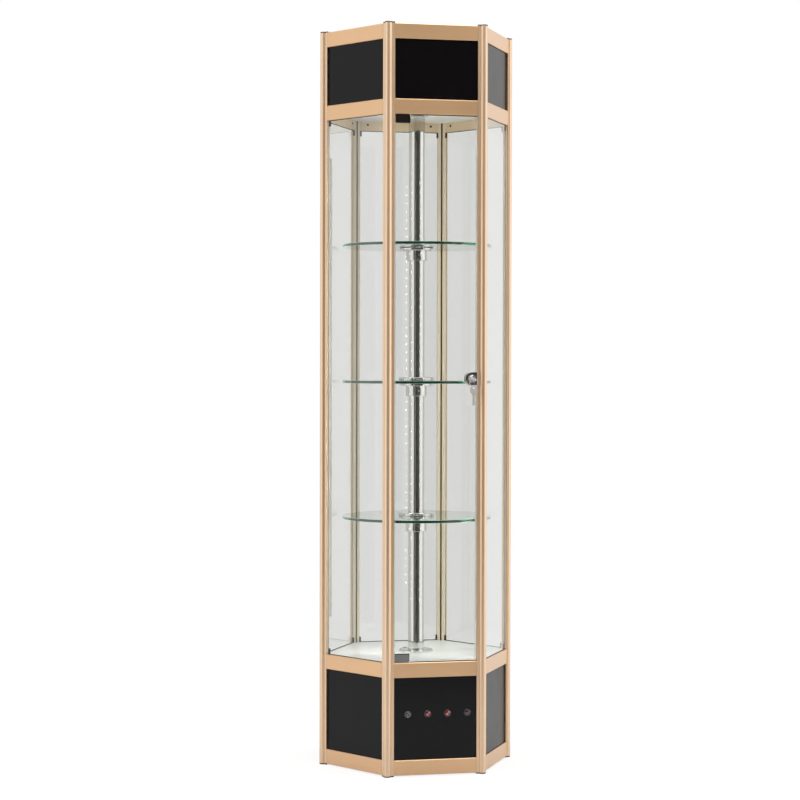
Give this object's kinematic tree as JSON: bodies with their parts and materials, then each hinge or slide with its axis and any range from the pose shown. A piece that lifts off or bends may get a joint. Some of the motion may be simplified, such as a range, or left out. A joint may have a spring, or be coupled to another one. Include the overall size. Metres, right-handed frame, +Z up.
{
  "type": "revolving glass display cabinet",
  "caption": "Tall hexagonal glass display tower with aluminium posts, black panels at base and top, a lockable glass door and round glass shelves on a turning pole.",
  "frame": {"origin": "on the floor, on the axis of the turning pole, in the middle of the hexagon", "axes": "+Z up, the door faces -Y, the door's hinges are on the -X side"},
  "size_m": [0.536, 0.4871, 1.98],
  "materials": {
    "champagne_aluminium": "satin anodised champagne gold aluminium extrusion, fine lengthwise brushing, bright along the edges",
    "black_panel": "glossy black laminate on board, slightly brownish, soft wide reflections",
    "clear_glass": "clear 5 mm float glass, polished, faint green at the cut edges",
    "shelf_glass": "clear 8 mm float glass with a polished green edge",
    "white_board": "white laminated board, satin",
    "black_board": "black laminated board, matt",
    "chrome": "polished chrome plate",
    "nickel": "satin nickel plate, polished on the rims",
    "key_steel": "nickel-plated key steel, worn",
    "dark_bronze": "dark bronze coated metal, satin",
    "satin_steel": "brushed stainless steel",
    "steel": "machined steel, lightly oiled",
    "nylon": "off-white moulded nylon",
    "motor_paint": "dark grey painted metal",
    "black_plastic": "black moulded plastic, fine grain",
    "strip_aluminium": "white powder-coated aluminium channel",
    "red_lens": "translucent red push-button cap, lit from inside",
    "plum_lens": "dark plum translucent push-button cap, unlit"
  },
  "bodies": {
    "cabinet": {"post_front_left": "champagne_aluminium", "post_front_right": "champagne_aluminium", "post_right": "champagne_aluminium", "post_rear_right": "champagne_aluminium", "post_rear_left": "champagne_aluminium", "post_left": "champagne_aluminium", "bottom_rail_ring": "champagne_aluminium", "deck_rail_ring": "champagne_aluminium", "canopy_rail_ring": "champagne_aluminium", "top_rail_ring": "champagne_aluminium", "base_panel_front": "black_panel", "base_panel_front_right": "black_panel", "base_panel_rear_right": "black_panel", "base_panel_rear": "black_panel", "base_panel_rear_left": "black_panel", "base_panel_front_left": "black_panel", "canopy_panel_front": "black_panel", "canopy_panel_front_right": "black_panel", "canopy_panel_rear_right": "black_panel", "canopy_panel_rear": "black_panel", "canopy_panel_rear_left": "black_panel", "canopy_panel_front_left": "black_panel", "glass_front_right": "clear_glass", "glass_rear_right": "clear_glass", "glass_rear": "clear_glass", "glass_rear_left": "clear_glass", "glass_front_left": "clear_glass", "deck_board": "white_board", "ceiling_board": "white_board", "floor_board": "black_board", "roof_board": "black_board", "foot_bearing": "chrome", "top_bearing": "chrome", "motor_body": "motor_paint", "power_supply": "black_plastic", "power_inlet": "black_plastic", "light_strip_left": "strip_aluminium", "light_strip_front_right": "strip_aluminium"},
    "turntable": {"pole": "chrome", "shelf_glass_lower": "shelf_glass", "shelf_glass_middle": "shelf_glass", "shelf_glass_upper": "shelf_glass", "shelf_hub_lower": "chrome", "shelf_hub_middle": "chrome", "shelf_hub_upper": "chrome", "clamp_ring_lower": "chrome", "clamp_ring_middle": "chrome", "clamp_ring_upper": "chrome", "drive_gear": "nylon"},
    "pinion": {"motor_pinion": "steel"},
    "door": {"door_glass": "clear_glass", "door_clamp_top": "dark_bronze", "door_clamp_bottom": "satin_steel", "lock_case": "nickel"},
    "lock": {"lock_key": "nickel"},
    "hanging_key": {"spare_key": "key_steel"},
    "switch": {"key_switch": "chrome"},
    "left_button": {"light_button_left": "red_lens"},
    "right_button": {"light_button_right": "red_lens"},
    "drive_button": {"motor_button": "plum_lens"}
  },
  "joints": [
    {"name": "turntable_spin", "type": "hinge", "parent": "cabinet", "child": "turntable", "pos_m": [0, 0, 0.3], "axis": [0, 0, 1], "continuous": true},
    {"name": "pinion_spin", "type": "hinge", "parent": "cabinet", "child": "pinion", "pos_m": [0, 0.09, 0.128], "axis": [0, 0, 1], "continuous": true},
    {"name": "door_swing", "type": "hinge", "parent": "cabinet", "child": "door", "pos_m": [-0.0935, -0.22043, 1.02], "axis": [0, 0, -1], "range_deg": [0, 105]},
    {"name": "lock_turn", "type": "hinge", "parent": "door", "child": "lock", "pos_m": [0.097, -0.22343, 1.047], "axis": [0, -1, 0], "range_deg": [0, 90]},
    {"name": "spare_key_swing", "type": "hinge", "parent": "door", "child": "hanging_key", "pos_m": [0.097, -0.24724, 1.047], "axis": [-1, 0, 0], "range_deg": [-15, 90]},
    {"name": "key_switch_turn", "type": "hinge", "parent": "cabinet", "child": "switch", "pos_m": [-0.074, -0.22343, 0.163], "axis": [0, -1, 0], "range_deg": [0, 90]},
    {"name": "light_button_left_press", "type": "slide", "parent": "cabinet", "child": "left_button", "axis": [0, 1, 0], "range_m": [0, 0.0025], "stiffness_N_per_m": 400, "springref_m": -0.001},
    {"name": "light_button_right_press", "type": "slide", "parent": "cabinet", "child": "right_button", "axis": [0, 1, 0], "range_m": [0, 0.0025], "stiffness_N_per_m": 400, "springref_m": -0.001},
    {"name": "motor_button_press", "type": "slide", "parent": "cabinet", "child": "drive_button", "axis": [0, 1, 0], "range_m": [0, 0.0025], "stiffness_N_per_m": 400, "springref_m": -0.001}
  ],
  "couplings": [
    {"joint": "pinion_spin", "follows": "turntable_spin", "ratio": -4}
  ]
}
